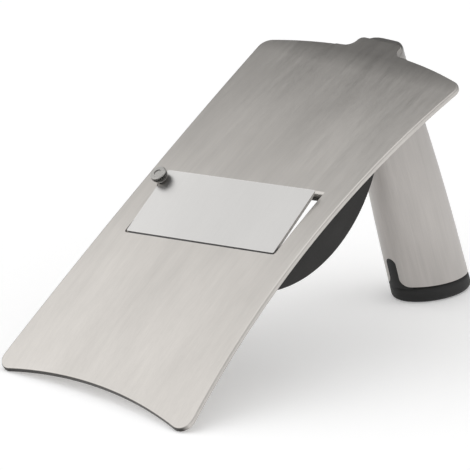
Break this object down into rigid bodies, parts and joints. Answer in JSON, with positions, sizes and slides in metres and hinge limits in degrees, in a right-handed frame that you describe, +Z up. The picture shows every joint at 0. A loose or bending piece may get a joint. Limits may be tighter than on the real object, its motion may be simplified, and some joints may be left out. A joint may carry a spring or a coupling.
{
  "type": "mandoline slicer",
  "caption": "Free-standing hand slicer: a bowed steel plate on an oval handle, with a hinged blade over its window that a thumbscrew raises and lowers.",
  "frame": {"origin": "middle of the footprint, on the surface that the slicer stands on", "axes": "+Y along the slicer, from the plate's low end to the handle; +X across the plate; +Z up"},
  "size_m": [0.0996, 0.2062, 0.1073],
  "materials": {
    "plate_steel": "satin, grain along the plate",
    "blade_steel": "fine satin",
    "handle_steel": "satin, grain along the handle",
    "hardware_steel": "bright machined",
    "screw_steel": "bright turned and knurled",
    "spring_steel": "drawn wire",
    "cheek_plastic": "charcoal, fine matt texture",
    "cap_rubber": "black, matt",
    "plug_plastic": "as moulded",
    "insert_brass": "turned"
  },
  "bodies": {
    "base": {"slicing_plate": "plate_steel", "side_cheek_left": "cheek_plastic", "side_cheek_right": "cheek_plastic", "weld_studs": "hardware_steel", "stud_washers": "hardware_steel", "stud_nuts": "hardware_steel", "hinge_rod": "hardware_steel", "rod_spacer_left": "hardware_steel", "rod_spacer_right": "hardware_steel", "threaded_insert": "insert_brass", "blade_spring": "spring_steel", "handle_shell": "handle_steel", "foot_cap": "cap_rubber", "lower_plug": "plug_plastic", "upper_plug": "plug_plastic", "tie_rod": "hardware_steel", "tie_washer": "hardware_steel", "tie_nut": "hardware_steel"},
    "blade_unit": {"blade": "blade_steel", "hinge_knuckle_left": "hardware_steel", "hinge_knuckle_right": "hardware_steel"},
    "screw_washer": {"thrust_washer": "hardware_steel"},
    "screw": {"thumbscrew": "screw_steel", "retaining_clip": "hardware_steel"}
  },
  "joints": [
    {"name": "screw_travel", "type": "slide", "parent": "base", "child": "screw_washer", "axis": [0, -0.5685, 0.8227], "range_m": [-0.00197, 0.00122]},
    {"name": "screw_turn", "type": "hinge", "parent": "screw_washer", "child": "screw", "pos_m": [-0.0344, -0.03162, 0.05949], "axis": [0, -0.5685, 0.8227], "range_deg": [-1420, 880]},
    {"name": "blade_tilt", "type": "hinge", "parent": "base", "child": "blade_unit", "pos_m": [-0.00044, -0.04253, 0.04643], "axis": [0.9921, 0.1023, 0.0724], "range_deg": [-5.43, 3.37], "deforming": ["blade_spring"]}
  ],
  "couplings": [
    {"joint": "screw_turn", "follows": "screw_travel", "rad_per_m": 12566},
    {"joint": "blade_tilt", "follows": "screw_travel", "rad_per_m": 48.004}
  ]
}
